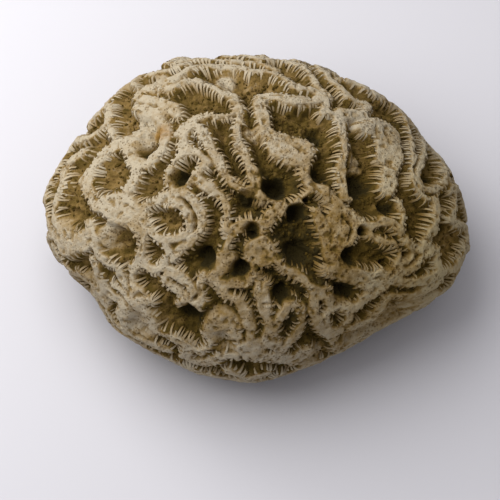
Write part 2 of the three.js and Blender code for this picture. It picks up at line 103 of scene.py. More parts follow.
# Ridge crests on the sheet: half the width of the flat crest, then the points it winds through
SHEET_RIDGES = [
  # left end
  [1.2, [[-37.5, 16], [-41, 11], [-42.2, 5], [-41.5, -2], [-41, -5.5], [-38, -10], [-33, -13.5],
      [-31, -16]]],
  [1.3, [[-35, 13], [-38, 10.5], [-39, 6], [-40.5, 1.5], [-40, -1.5], [-38.5, -3]]],
  [1.2, [[-37.5, 16], [-35.5, 15.5], [-31, 18], [-29.8, 20], [-30, 22.5]]],
  [1.1, [[-34.5, 19], [-30.2, 23], [-27, 26.5], [-25, 28.2]]],
  [2.2, [[-38.6, -4], [-35.5, -4.2], [-34.5, -5], [-38.4, -6.4]]],
  [1.3, [[-33.6, -1.6], [-31.6, -7.4], [-30, -9.2], [-27.6, -10.6], [-26.8, -13], [-24.6, -16.6]]],
  [1.4, [[-32.8, -9], [-30.2, -14], [-26.8, -18.4], [-27.6, -20.2], [-26.4, -22.6]]],
  [1.4, [[-31.2, -15.8], [-29.5, -20], [-26.8, -22.8], [-18, -26.6]]],
  # the ring and the curl above it
  [1.6, [[-27.5, 14.8], [-30.5, 13], [-33, 9], [-33.7, 5.5], [-32.2, 3.5], [-29.5, 3.2], [-26.5, 5],
    [-24.3, 8.5], [-24.6, 11]]],
  [1.5, [[-23.8, 22.2], [-21, 21.5], [-18.5, 18.5], [-18.5, 15.5], [-21, 11], [-22.8, 10.3],
    [-24.5, 11], [-26.2, 14.2], [-28.4, 14.8]]],
  [1.1, [[-30, 22.5], [-29.5, 18], [-28.5, 15]]],
  [1, [[-25, 28.2], [-24, 26], [-23.8, 22.2]]],
  [2.2, [[-32.2, 2.8], [-27.6, 1], [-24, -1.4], [-23, -3]]],
  [1.4, [[-27, 4.2], [-23.6, 1.2], [-22.4, -1], [-23, -6.2], [-23.4, -8.6], [-24.6, -10.2]]],
  # back of the top
  [1.3, [[-23.8, 24.2], [-22.5, 25.5], [-17.5, 26], [-13.5, 27.4], [-11.5, 27.4], [-7, 25.4],
    [-4.8, 24.2], [-3.6, 22.4]]],
  [1.2, [[-15.6, 16.8], [-12.5, 19.5], [-10, 20.4], [-7.5, 20.2], [-5.2, 20.6], [-3.6, 22.4]]],
  [1.2, [[-22, 29], [-17.5, 29.8], [-14, 31]]],
  [1.5, [[-23.4, 24], [-20.2, 23.4], [-17.6, 22.4], [-16, 20.6]]],
  [1.3, [[-17, 27.5], [-13, 29.8], [-7, 30.6], [-3.5, 30.4], [-1.2, 29.6], [3.2, 29.4], [9, 26],
    [11.5, 25.6], [13.2, 24.8], [14, 22.8], [13.8, 21]]],
  [1.1, [[-18.2, 31.4], [-12, 32], [-5, 31.7], [1.5, 31], [4, 30]]],
  [1.1, [[1.2, 32.2], [5, 32], [10, 30.2], [13, 26.2], [14.8, 24.4]]],
  [1.2, [[12.5, 30.5], [16.8, 26.4], [18.8, 24.2], [22.3, 22.6], [21.6, 21], [19, 21], [14, 21.2]]],
  [1.1, [[16.8, 28.2], [19.2, 27.6], [25.5, 24.4], [29, 21.5], [31, 17.5], [31.5, 9], [32.5, 5.5],
    [34, 4], [36, 3.4]]],
  # middle of the top
  [1.6, [[13.8, 23.8], [8.5, 23.2], [3.2, 24.2], [1.2, 24]]],
  [1.7, [[1.2, 24], [1, 21.4], [1.6, 18.8], [3.2, 16.6], [8.6, 15], [10.4, 13.6], [9.8, 9], [11, 7],
    [15, 3.6]]],
  [2.5, [[4.2, 15], [6, 12.8], [7.8, 11.6]]],
  [1.4, [[16.8, 21.2], [17.5, 16], [17.8, 13.6], [16.8, 8.8], [18, 3.8]]],
  [1.4, [[-3.4, 22], [-3.6, 17], [-3.2, 14], [-1.8, 11.4], [0, 6.2], [0.8, 4]]],
  [1.5, [[-14, 13], [-14.6, 15], [-14.2, 17.2], [-12.6, 18.2], [-11, 16.8], [-8.2, 12.2],
    [-5.2, 7.2], [-3.2, 6], [1.2, 4]]],
  [1.2, [[-14, 13], [-17, 9], [-17.6, 6.8], [-16.4, 5.2], [-14.4, 5.4], [-12.2, 8.2]]],
  [1.3, [[-14, 13], [-11.5, 12.3], [-10, 10.8], [-12.2, 8], [-8.4, 5], [-6.4, 2.5], [-5.4, -2.5],
    [-6, -8], [-8.6, -12.6]]],
  [1.5, [[-16.5, 4.8], [-20, 3.2], [-23.6, 1.2]]],
  [1.8, [[-5.4, -2.8], [-1.2, -1.6], [1.5, -1.6], [3.8, 0.8], [5.6, 2]]],
  [1, [[1.2, 4], [5.6, 2.2], [7.8, 2.8], [11.2, 5.8]]],
  # rosettes left of the middle
  [1.5, [[-22, 1.8], [-20, 2.8], [-17.5, 3], [-15, 2], [-13.6, -0.5], [-13.9, -2.8], [-18, -4.8],
    [-20.6, -3.2], [-22.2, -1.6]]],
  [1.5, [[-17.6, 3], [-15.6, 4.8], [-13.2, 3.8], [-11.6, 1.8], [-11.3, -2.8], [-15, -6.5],
    [-16.8, -8.4]]],
  [1.4, [[-18, -4.8], [-17.6, -7.5], [-19.2, -10.6], [-21.2, -10.6], [-23, -9]]],
  [1.5, [[-19.2, -10.6], [-17.2, -11], [-13.4, -14], [-13.4, -16.4], [-14.8, -17.8]]],
  [1.4, [[-23, -9], [-24.7, -11], [-24.5, -13.5], [-22.6, -16.6], [-21.2, -17.2]]],
  [1.2, [[-17.2, -11], [-18.4, -12.5], [-17, -14.4], [-12, -18]]],
  [1.3, [[-8.6, -12.6], [-10.2, -12], [-11.4, -14], [-10.8, -16.2], [-12, -18]]],
  # front of the middle
  [1.5, [[1.2, -4.6], [-0.6, -5.8], [-1, -7.8], [0.4, -9.2], [2.4, -9], [3, -6.8], [1.6, -5]]],
  [1.1, [[-1, -7.8], [0, -12], [0.8, -17.2], [2.6, -22], [2, -24.5], [3.2, -26]]],
  [1.4, [[-8.6, -12.6], [-6.8, -13.8], [-2.2, -13.4], [-0.4, -12]]],
  [1.6, [[-6.8, -13.8], [-6, -15.8], [-3.2, -17.2], [-1.2, -22.6], [-0.8, -25.6], [0, -28]]],
  [1.3, [[3, -6.8], [5.2, -10.4], [9, -12.4], [12.2, -15.2], [14, -14.8]]],
  [1.4, [[4.2, -25.4], [3.8, -22.8], [4.8, -20.2], [6, -18.2], [7.6, -17.6], [8.9, -19.5],
    [8.8, -22], [6.8, -25.4], [5, -26.8], [3.2, -26]]],
  [1.2, [[1.8, -13.8], [2.4, -18.6], [3.8, -22.8]]],
  [1.4, [[12.2, -15.2], [11.4, -17.4], [12.8, -22], [15.8, -24.8], [16, -26.6]]],
  [1.3, [[-24.6, -16.6], [-21.4, -20.2], [-20, -22.8], [-15.6, -24.6], [-11.2, -27.2]]],
  [1.3, [[-28.6, -13.6], [-24.6, -16.6], [-22.6, -17]]],
  [1.3, [[-11.2, -27.2], [-9.6, -25.4], [-10, -23.4], [-8.8, -21.8], [-6.6, -21], [-4.4, -22],
    [-3.4, -24.2], [-2, -28.2]]],
  [1.6, [[-13.4, -26.2], [-14, -28.2], [-11.6, -29.4], [-8.8, -29], [-6.8, -27.6], [-4.4, -28]]],
  [1.8, [[0, -28], [5.6, -28.6], [8.4, -28.8], [9.6, -27.2]]],
  [1.5, [[-5.6, -31], [-1.4, -32.2], [2.4, -31.2]]],
  # right of the middle
  [1.9, [[15, 3.6], [16.4, 1.8], [15.8, -0.4], [17, -2.6], [16.4, -5.2], [14.8, -10.6]]],
  [1.6, [[12.2, 0.8], [13.4, -2.2], [14.4, -5.2], [14.8, -8]]],
  [1.3, [[15, 3.6], [20, -0.6], [22.4, -1.6], [27.2, -1.4], [30.2, -5.2], [31.6, -6.6]]],
  [1.1, [[28.4, 2.8], [29.5, 0], [29, -3]]],
  [1.2, [[20, -0.6], [20.2, -2.8], [17.8, -6.6], [17.4, -9], [18.8, -10.8], [25.6, -11.4],
    [27.8, -10.2]]],
  [1.1, [[23.2, -3.8], [27.8, -6.2], [29, -8.2], [27.8, -10.2]]],
  [1.9, [[14.8, -10.6], [19.6, -12.4], [24, -14], [25.4, -13.8]]],
  [1.5, [[12.2, -15.2], [16.4, -17.6], [19.2, -18.4], [21.6, -17.2], [25.4, -13.8], [29.2, -11.4]]],
  [1.3, [[16.4, -17.6], [14.2, -20.2], [14.8, -22.6], [16.6, -23.2], [18.6, -21], [19.2, -18.4]]],
  [2, [[22.4, 17.8], [24.4, 18.6], [26.4, 18], [27.7, 16], [27.4, 10.4], [26, 5.8]]],
  [2.1, [[24.6, 17], [25.6, 14.4], [26, 11.6]]],
  # right end
  [1.1, [[30.4, 21.8], [32.4, 19.4], [34, 16.2], [33.8, 13], [32.6, 8], [33.6, 5.6]]],
  [1.2, [[34, 16], [37, 12.5], [38.4, 8.8], [37.8, 6.5], [35.8, 5.3], [33.6, 5.6]]],
  [1.2, [[38.4, 8.8], [40.4, 4], [40.2, 1.4], [38.8, -1], [40.8, -1.6], [42.6, -2.6], [42.4, -5.6],
    [40.2, -10.2]]],
  [1.4, [[36, 3.4], [36, 0.8], [35, -4.4], [33.6, -6.2], [31.6, -6.6]]],
  [1.3, [[30.2, -5.2], [31.4, -7.2], [30.6, -9], [28.8, -10.2], [29.2, -11.4], [31.2, -10.6],
    [34.8, -7.2], [36.2, -6.6], [37, -10.6]]],
  [1.4, [[27.2, -12.4], [30.8, -13.3], [34.4, -12.4], [40.2, -10.2]]],
  [1.3, [[19.2, -22.6], [23.6, -20.2], [26.8, -16.2], [32, -15.6], [37.2, -12.8]]],
  [1.2, [[41.4, -8.2], [39.2, -13.8], [33.6, -17.4], [24.8, -22.6], [16.4, -27]]],
]

# Holes bored into the valleys, on the sheet: place, radius, depth below the valley
BORED_HOLES = [
  [4, 6, 2.2, 3], [8, 0.6, 1.6, 3], [-0.8, -2.8, 1.4, 2.4], [10.2, 3.2, 0.6, 2.5],
  [18.8, -8, 1.6, 2.5], [21.4, -3, 1, 2.6], [26.8, -10, 0.9, 2.6], [30.4, -7.8, 0.7, 2.4],
  [-3.2, -10.8, 1.6, 2.2], [-13.8, -20.2, 2.4, 2.2], [-27.8, -5, 2.4, 1.8], [-15.2, 7.8, 1.6, 1.6],
  [21.2, 6.6, 2.6, 1.8], [8.6, -7.6, 2.2, 2.2], [-10.6, -8.6, 1.8, 2.2], [-22.2, 13.4, 1.4, 2],
  [38.4, -2.8, 1.4, 2], [26.8, 1.4, 1.4, 1.6], [-1.8, 3.6, 1.6, 1.8], [5, -16, 1.4, 2.2],
  [35.6, 8.2, 1.6, 1.6], [12.8, 8.4, 1.8, 1.4], [12.8, 17, 2.1, 1.5], [17.8, -15.8, 2, 1.6],
]

# Ridge crests on the flanks, by azimuth from +X and latitude above the dome's middle, in degrees
FLANK_RIDGES = [
  # right flank
  [1.3, [[-12, 4], [-8, -3], [-13, -10], [-8, -17], [-11, -24], [-8, -34]]],
  [1.2, [[2, 12], [6, 5], [1, -2], [5, -9], [1, -16], [5, -23], [3, -34]]],
  [1.4, [[18, 6], [13, 0], [18, -7], [13, -14], [18, -21], [16, -34]]],
  [1.3, [[25, 7], [30, 2], [26, -5], [31, -12], [26, -19], [29, -26], [27, -34]]],
  [1.1, [[18, -7], [22, -9], [26, -5]]],
  [1.3, [[37, 12], [41, 5], [37, -1], [41, -7], [50, -8], [55, -2], [50, 3]]],
  [1.3, [[41, -7], [38, -14], [43, -20], [40, -27], [42, -34]]],
  [1.2, [[52, -15], [48, -21], [53, -27], [51, -34]]],
  # back
  [1.4, [[67, 14], [63, 7], [67, 0], [62, -7], [66, -14], [61, -21], [65, -27], [63, -34]]],
  [1.5, [[75, 15], [72, 8], [77, 2], [86, 1], [91, 6], [88, 12]]],
  [1.3, [[77, 2], [74, -5], [79, -11], [75, -18], [79, -25], [76, -34]]],
  [1.2, [[79, -11], [87, -9], [92, -14], [88, -20], [91, -26]]],
  [1.4, [[88, 25], [95, 19], [101, 13], [98, 5], [103, -1], [99, -8], [104, -14], [100, -21],
    [104, -27], [101, -34]]],
  [1.3, [[121, 21], [114, 14], [117, 6], [112, -1], [117, -8], [112, -15], [116, -22], [113, -34]]],
  [1.2, [[117, -8], [125, -9], [129, -15], [125, -21], [129, -28], [127, -34]]],
  [1.3, [[131, 12], [127, 5], [131, -1], [128, -5]]],
  # left flank
  [1.4, [[142, 10], [138, 3], [142, -4], [138, -11], [142, -18], [138, -25], [141, -34]]],
  [1.2, [[151, 8], [148, 1], [153, -5], [149, -12], [153, -19], [149, -26], [152, -34]]],
  [1.3, [[158, 6], [162, 0], [159, -6], [163, -13], [160, -20], [165, -27], [163, -34]]],
  [1.1, [[163, -13], [169, -10], [173, -4]]],
  [1.3, [[178, 6], [173, -4], [177, -12], [172, -19], [176, -26], [174, -34]]],
  [1.4, [[190, 8], [187, 0], [191, -7], [186, -14], [190, -21], [187, -34]]],
  [1.3, [[203, 5], [199, -2], [203, -9], [198, -16], [202, -23], [199, -34]]],
  # worn keel along the front
  [2, [[208, -3], [218, -10], [228, -8], [238, -11], [248, -9]]],
  [2.2, [[248, -9], [258, -13], [270, -14], [282, -13], [291, -9]]],
  [2, [[291, -9], [300, -12], [312, -9], [322, -6], [332, -4]]],
]

# Short ridges that run from the keel down to the cut
FRONT_RIDGES = 10
FRONT_FIRST_AZIMUTH = 214
FRONT_AZIMUTH_STEP = 13
FRONT_CREST = 1.7
FRONT_STRAY = 2.6

# Slopes worn smooth, their septa gone: place on the sheet and radius
WORN_PATCHES = [
    [-23.2, -21.2, 4.5], [-29, -3.5, 3.5], [-6.8, -22.2, 4], [-6, -9, 2.5], [5, 13.4, 2.6],
    [25, -21.6, 6], [33, -17, 5], [10, -28.5, 4], [-39, -3.6, 3.5], [-32, -14.6, 4.5], [-35, 8, 2.5],
    [-20, 27, 3], [31, 20, 3],
]

rng = np.random.default_rng(11)


# ---------------------------------------------------------------- noise

def lattice_values(cells, seed):
    """One steady random number from -1 to 1 for each whole-number cell."""
    mixed = cells @ np.array([73856093, 19349663, 83492791]) + seed * 668265263
    mixed = ((mixed ^ (mixed >> 13)) * 1274126177) & 0xFFFFFFFF
    mixed = ((mixed ^ (mixed >> 15)) * 2246822519) & 0xFFFFFFFF
    return ((mixed >> 8) & 0xFFFF) / 32767.5 - 1


def noise(points, size, seed):
    """Smooth noise from -1 to 1 with lumps of about this size."""
    spots = points / size
    cells = np.floor(spots).astype(np.int64)
    part = spots - cells
    part = part * part * (3 - 2 * part)
    total = np.zeros(len(points))
    for corner in itertools.product((0, 1), repeat=3):
        weight = np.prod(np.where(corner, part, 1 - part), axis=1)
        total += weight * lattice_values(cells + np.array(corner), seed)
    return total


def noise_vectors(points, size, seed):
    return np.stack([noise(points, size, seed + axis) for axis in range(3)], axis=1)


def smooth_step(value):
    value = np.clip(value, 0, 1)
    return value * value * (3 - 2 * value)


def unit(vectors):
    return vectors / np.linalg.norm(vectors, axis=-1, keepdims=True)


# ---------------------------------------------------------------- the smooth dome

def on_sheet(points):
    x, y, z = points[..., 0], points[..., 1], points[..., 2]
    return x, y * UP_Y + z * UP_Z, z * UP_Y - y * UP_Z


def off_sheet(u, v, w):
    return np.stack([u, v * UP_Y - w * UP_Z, v * UP_Z + w * UP_Y], axis=-1)


def spline(points, per_span, closed=False):
    """A centripetal Catmull-Rom curve through the points, as the CAD part draws it."""
    points = np.array(points, float)
    if closed:
        points = np.concatenate([points[-1:], points, points[:2]])
    else:
        points = np.concatenate([2 * points[:1] - points[1:2], points, 2 * points[-1:] - points[-2:-1]])
    gaps = np.maximum(np.linalg.norm(np.diff(points, axis=0), axis=1) ** 0.5, 1e-4)
    knots = np.concatenate([[0], np.cumsum(gaps)])
    curve = []
    for i in range(1, len(points) - 2):
        t = np.linspace(knots[i], knots[i + 1], per_span, endpoint=False)[:, None]
        k = knots[i - 1:i + 3]
        p = points[i - 1:i + 3]
        first = [((k[j + 1] - t) * p[j] + (t - k[j]) * p[j + 1]) / (k[j + 1] - k[j]) for j in range(3)]
        second = [((k[j + 2] - t) * first[j] + (t - k[j]) * first[j + 1]) / (k[j + 2] - k[j])
                  for j in range(2)]
        curve.append(((k[2] - t) * second[0] + (t - k[1]) * second[1]) / (k[2] - k[1]))
    if not closed:
        curve.append(points[-2:-1])
    return np.concatenate(curve)


def outline_table():
    """How far the outline stands out of the ellipsoid's own, by angle round the sheet."""
    curve = spline(OUTLINE, 20, closed=True)
    sheet_half_width = math.hypot(HALF_WIDTH * UP_Y, HALF_HEIGHT * UP_Z)
    angles = np.arctan2(curve[:, 1], curve[:, 0])
    factors = np.hypot(curve[:, 0] / HALF_LENGTH, curve[:, 1] / sheet_half_width)
    order = np.argsort(angles)
    return angles[order], factors[order]


OUTLINE_ANGLES, OUTLINE_FACTORS = outline_table()


def outline_factor(u, v):
    return np.interp(np.arctan2(v, u), OUTLINE_ANGLES, OUTLINE_FACTORS, period=2 * math.pi)


def dome_points(directions):
    """The smooth dome's surface along directions from its middle."""
    directions = unit(directions)
    u, v, w = on_sheet(directions)
    factor = outline_factor(u, v)
    rounded = off_sheet(u / factor, v / factor, w)
    return directions / np.linalg.norm(rounded / HALVES, axis=-1, keepdims=True)


def dome_above_sheet(points):
    """The smooth dome's surface above points of the sheet, or its rim beyond the outline."""
    u, v = points[:, 0], points[:, 1]
    factor = outline_factor(u, v)
    up = v / factor
    square = (UP_Z / HALF_WIDTH) ** 2 + (UP_Y / HALF_HEIGHT) ** 2
    linear = 2 * up * UP_Y * UP_Z * (HALF_HEIGHT ** -2 - HALF_WIDTH ** -2)
    rest = ((u / factor / HALF_LENGTH) ** 2 + (up * UP_Y / HALF_WIDTH) ** 2
            + (up * UP_Z / HALF_HEIGHT) ** 2 - 1)
    root = np.sqrt(np.maximum(0, linear ** 2 - 4 * square * rest))
    return dome_points(off_sheet(u, v, (root - linear) / (2 * square)))


def dome_at_angles(points):
    around, above = np.radians(points).T
    flat = np.cos(above)
    return dome_points(np.stack([flat * np.cos(around), flat * np.sin(around), np.sin(above)], axis=1))


# ---------------------------------------------------------------- crests and relief

def even_steps(line, step):
    """The line again, with points this far apart."""
    along = np.concatenate([[0], np.cumsum(np.linalg.norm(np.diff(line, axis=0), axis=1))])
    spots = np.linspace(0, along[-1], max(2, math.ceil(along[-1] / step)))
    return np.stack([np.interp(spots, along, line[:, axis]) for axis in range(3)], axis=1)


def front_ridges():
    azimuths = [FRONT_FIRST_AZIMUTH + FRONT_AZIMUTH_STEP * i + FRONT_STRAY * math.sin(2.4 * i)
                for i in range(FRONT_RIDGES)]
    return [[FRONT_CREST, [[a, -10], [a + 4, -17], [a - 1, -24], [a + 2, -34]]] for a in azimuths]


def crest_lines(ridges, to_dome):
    return [(half, even_steps(to_dome(spline(points, 12)), CREST_STEP)) for half, points in ridges]


CRESTS = (crest_lines(SHEET_RIDGES, dome_above_sheet)
          + crest_lines(FLANK_RIDGES + front_ridges(), dome_at_angles))
CREST_POINTS = np.concatenate([line for _, line in CRESTS]).astype(np.float32)
CREST_HALVES = np.concatenate([np.full(len(line), half) for half, line in CRESTS]).astype(np.float32)
CREST_SQUARES = (CREST_POINTS ** 2).sum(axis=1)


def crest_distance(surface):
    """How far each point of the smooth dome is from the flat top of the nearest ridge."""
    warped = (surface + WARP * noise_vectors(surface, WARP_SIZE, 5)).astype(np.float32)
    nearest = np.empty(len(warped))
    for start in range(0, len(warped), 4096):
        part = warped[start:start + 4096]
        squares = (part ** 2).sum(axis=1)[:, None] + CREST_SQUARES - 2 * part @ CREST_POINTS.T
        nearest[start:start + 4096] = (np.sqrt(np.maximum(squares, 0)) - CREST_HALVES).min(axis=1)
    return nearest + CREST_WEAR + 0.38 * noise(surface, 2.6, 8)


def hole_depth(surface):
    spots = np.array(BORED_HOLES)
    centres = dome_above_sheet(spots[:, :2])
    depth = np.zeros(len(surface))
    for centre, (_, _, radius, deep) in zip(centres, spots):
        off = np.linalg.norm(surface - centre, axis=1) / radius
        depth += deep * (1 - smooth_step(off - 0.5))
    return depth


def wear(surface):
    """1 where the septa are worn off the walls, 0 where they stand."""
    spots = np.array(WORN_PATCHES)
    centres = dome_above_sheet(spots[:, :2])
    worn = smooth_step((noise(surface, 6.5, 51) - 0.55) / 0.2)
    for centre, radius in zip(centres, spots[:, 2]):
        off = np.linalg.norm(surface - centre, axis=1) / radius
        worn = np.maximum(worn, 1 - smooth_step(2.5 * (off - 0.8)))
    return worn


def top_depth(surface, distance):
    """How deep the worn crests and the tops of the septa lie."""
    floor = FLOOR_DEPTH * smooth_step((distance - FLOOR_START) / FLOOR_RUN) * (1 - 0.3 * wear(surface))
    rough = 0.40 * noise(surface, 6.0, 21) + 0.16 * noise(surface, 1.6, 22)
    return floor + hole_depth(surface) + rough + 0.2


def slot_share(surface, distance):
    """1 where the wall is open between septa, 0 on the crests, and ragged in between."""
    edge = distance - GAP_START + 0.25 * noise(surface, 1.1, 27)
    return smooth_step(edge / GAP_RUN) * (1 - 0.85 * wear(surface))


def pit_share(surface):
    """1 in the small pits that riddle the crests, 0 between them."""
    crowding = 0.25 + 0.3 * noise(surface, 4.0, 29)
    return smooth_step((noise(surface, 0.75, 23) - 0.55 + crowding) / 0.4)


def body_depth(surface, distance):
    """How deep the body lies, down between the septa and into its pores."""
    slots = np.clip(0.8 + 1.0 * noise(surface, 0.95, 26), 0.15, 1.3) * slot_share(surface, distance)
    spongy = 0.6 * noise(surface, 1.1, 24) + 0.4 * noise(surface, 0.6, 25)
    spongy *= smooth_step(np.maximum((distance - 1.1) / 0.9, hole_depth(surface) / 1.6))
    gap = GAP_DEPTH * slots * (1 - 0.75 * smooth_step((distance - 0.5) / 1.2))
    pits = 0.35 * pit_share(surface) * (1 - slots.clip(0, 1))
    grain = 0.10 * noise(surface, 0.55, 28)
    return top_depth(surface, distance) + gap + pits + spongy + grain


# ---------------------------------------------------------------- meshes

def mesh_object(name, points, faces, attributes=()):
    """A piece from points in millimetres about the dome's middle."""
    mesh = bpy.data.meshes.new(name)
    mesh.from_pydata(((points + MIDDLE) * MM).tolist(), [], faces.tolist())
    for label, values in attributes:
        mesh.attributes.new(label, "FLOAT", "POINT").data.foreach_set("value", values.astype(np.float32))
    mesh.update()
    piece = bpy.data.objects.new(name, mesh)
    bpy.context.collection.objects.link(piece)
    return piece


def geodesic_ball(divisions):
    """Points and triangles of an icosahedron with each edge cut into this many parts."""
    golden = (1 + 5 ** 0.5) / 2
    corners = unit(np.array([
        (-1, golden, 0), (1, golden, 0), (-1, -golden, 0), (1, -golden, 0),
        (0, -1, golden), (0, 1, golden), (0, -1, -golden), (0, 1, -golden),
        (golden, 0, -1), (golden, 0, 1), (-golden, 0, -1), (-golden, 0, 1)]))
    sides = [(0, 11, 5), (0, 5, 1), (0, 1, 7), (0, 7, 10), (0, 10, 11), (1, 5, 9), (5, 11, 4),
             (11, 10, 2), (10, 7, 6), (7, 1, 8), (3, 9, 4), (3, 4, 2), (3, 2, 6), (3, 6, 8),
             (3, 8, 9), (4, 9, 5), (2, 4, 11), (6, 2, 10), (8, 6, 7), (9, 8, 1)]
    grid = [(i, j) for i in range(divisions + 1) for j in range(divisions + 1 - i)]
    number = {spot: k for k, spot in enumerate(grid)}
    triangles = []
    for i, j in grid:
        if i + j < divisions:
            triangles.append((number[i, j], number[i + 1, j], number[i, j + 1]))
        if i + j < divisions - 1:
            triangles.append((number[i + 1, j], number[i + 1, j + 1], number[i, j + 1]))
    grid = np.array(grid) / divisions
    triangles = np.array(triangles)
    points, faces = [], []
    for a, b, c in sides:
        faces.append(triangles + len(grid) * len(points))
        points.append(corners[a] + grid[:, :1] * (corners[b] - corners[a])
                      + grid[:, 1:] * (corners[c] - corners[a]))
    points = unit(np.concatenate(points))
    _, first, joined = np.unique(np.round(points * 1e5).astype(int), axis=0,
                                 return_index=True, return_inverse=True)
    return points[first], joined.reshape(-1)[np.concatenate(faces)]


def cut_flat(points):
    """Draws what reaches below the cut back onto it, along its own line from the middle."""
    drop = np.minimum(points[:, 2], -CUT_BELOW_MIDDLE)
    return points * (-CUT_BELOW_MIDDLE / drop)[:, None]


def body_shape():
    ball, faces = geodesic_ball(BALL_DIVISIONS)
    surface = dome_points(ball * HALVES ** 0.6)
    distance = crest_distance(surface)
    depth = body_depth(surface, distance)
    points = cut_flat(surface - unit(surface) * depth[:, None])
    # The gap and hollow values set the skeleton's colour, darker in the slots between septa, in the pits and
    # down the bored holes: dirt and painted shade in these recesses.
    open_valley = smooth_step((distance - 0.9) / 0.9)
    slots = slot_share(surface, distance) * (1 - 0.15 * open_valley)
    gap = np.maximum(slots, 0.45 * pit_share(surface))
    return points, faces, distance, gap, np.minimum(hole_depth(surface), 3)


BODY_POINTS, BODY_FACES, BODY_DISTANCE, BODY_GAP, BODY_HOLLOW = body_shape()
CAD_LOW, CAD_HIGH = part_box("brain_coral")
MIDDLE = np.array((CAD_LOW + CAD_HIGH) / 2) / MM - (BODY_POINTS.min(axis=0) + BODY_POINTS.max(axis=0)) / 2
MIDDLE[2] = CUT_BELOW_MIDDLE


def point_normals(points, faces):
    """The surface's normal at each point, the mean of the faces round it."""
    a, b, c = (points[faces[:, k]] for k in range(3))
    across = np.cross(b - a, c - a)
    normals = np.zeros_like(points)
    for k in range(3):
        np.add.at(normals, faces[:, k], across)
    return normals / np.maximum(np.linalg.norm(normals, axis=1, keepdims=True), 1e-9)


def close_the_cut(points, faces):
    """Swaps the many small faces that lie on the cut for a fan of long ones."""
    flat = (points[faces][:, :, 2] < -CUT_BELOW_MIDDLE + 1e-6).all(axis=1)
    cut = faces[flat]
    edges = np.concatenate([cut[:, [0, 1]], cut[:, [1, 2]], cut[:, [2, 0]]])
    keys = edges[:, 0] * len(points) + edges[:, 1]
    back = edges[:, 1] * len(points) + edges[:, 0]
    rim = edges[~np.isin(keys, back)]
    fan = np.column_stack([rim, np.full(len(rim), len(points))])
    middle = np.array([[0, 0, -CUT_BELOW_MIDDLE]])
    return np.concatenate([points, middle]), np.concatenate([faces[~flat], fan])


def body_piece(name, points, faces, normals):
    """One part of the body's surface, shaded as if it were still joined to the other."""
    used, numbers = np.unique(faces, return_inverse=True)
    values = [("hollow", np.append(BODY_HOLLOW, 0)[used]), ("gap", np.append(BODY_GAP, 0)[used])]
    piece = mesh_object(name, points[used], numbers.reshape(-1, 3), values)
    piece.data.shade_smooth()
    piece.data.normals_split_custom_set_from_vertices(normals[used].tolist())
    return piece


def make_body():
    points, faces = close_the_cut(BODY_POINTS, BODY_FACES)
    normals = point_normals(points, faces)
    high = on_sheet(points[faces].mean(axis=1))[2]
    top = high > np.median(high)
    return [body_piece("coral_top", points, faces[top], normals),
            body_piece("coral_flanks", points, faces[~top], normals)]


# ---------------------------------------------------------------- septa

def round_the_ridge(half, line):
    """Starts on the crest and ways out from it, all the way round one ridge."""
    tangent = unit(np.gradient(line, axis=0))
    out = unit(line)
    side = unit(np.cross(tangent, out))
    turn = np.linspace(0, math.pi, 14)[1:-1, None]
    far_cap = np.cos(turn) * side[-1] + np.sin(turn) * tangent[-1]
    near_cap = -np.cos(turn) * side[0] - np.sin(turn) * tangent[0]
    starts = [line, np.repeat(line[-1:], len(turn), axis=0), line[::-1],
              np.repeat(line[:1], len(turn), axis=0)]
    ways = [side, far_cap, -side[::-1], near_cap]
    return np.concatenate(starts), np.concatenate(ways)


def septum_places():
    """Where each septum starts, which way it goes, and its ridge's half width."""
    places = []
    for half, line in CRESTS:
        starts, ways = round_the_ridge(half, line)
        wall = starts + ways * (half + 0.8)
        along = np.concatenate([[0], np.cumsum(np.linalg.norm(np.diff(wall, axis=0), axis=1))])
        count = int(along[-1] / SEPTUM_PITCH)
        spots = (np.arange(count) + rng.uniform(-0.22, 0.22, count)) * along[-1] / count
        pick = [np.stack([np.interp(spots, along, rows[:, axis]) for axis in range(3)], axis=1)
                for rows in (starts, ways)]
        minor = np.arange(count) % 2
        places.append(np.concatenate([pick[0], unit(pick[1]), np.full((count, 1), half),
                                      minor[:, None]], axis=1))
    return np.concatenate(places)


def septum_ends(starts, ways, halves):
    """How far out each septum can go before another ridge's wall is nearer."""
    reach = np.linspace(0.2, SEPTUM_REACH, MARCH_STEPS)
    spots = starts[:, None] + ways[:, None] * (halves[:, None] + reach)[..., None]
    distance = crest_distance(dome_points(spots.reshape(-1, 3))).reshape(len(starts), -1)
    lost = distance < 0.82 * reach - 0.35
    first = np.where(lost.any(axis=1), lost.argmax(axis=1), MARCH_STEPS - 1)
    return np.minimum(reach[first], 1.9 + 0.9 * noise(starts, 4.0, 43))


def septa_shape():
    places = septum_places()
    places = places[rng.uniform(size=len(places)) > 0.07]
    sideways = np.cross(places[:, 3:6], unit(places[:, :3]))
    places[:, 3:6] = unit(places[:, 3:6] + rng.normal(0, 0.1, (len(places), 1)) * sideways)
    ends = septum_ends(places[:, :3], places[:, 3:6], places[:, 6])
    minor = places[:, 7] > 0
    ends = np.where(minor, ends * MINOR_SHARE, ends) * rng.uniform(0.8, 1.0, len(ends))
    middles = dome_points(places[:, :3] + places[:, 3:6] * (places[:, 6:7] + ends[:, None] / 2))
    keep = (ends > 0.35) & (hole_depth(middles) < 0.7) & (wear(middles) < 0.5)
    return places[keep], ends[keep], minor[keep]


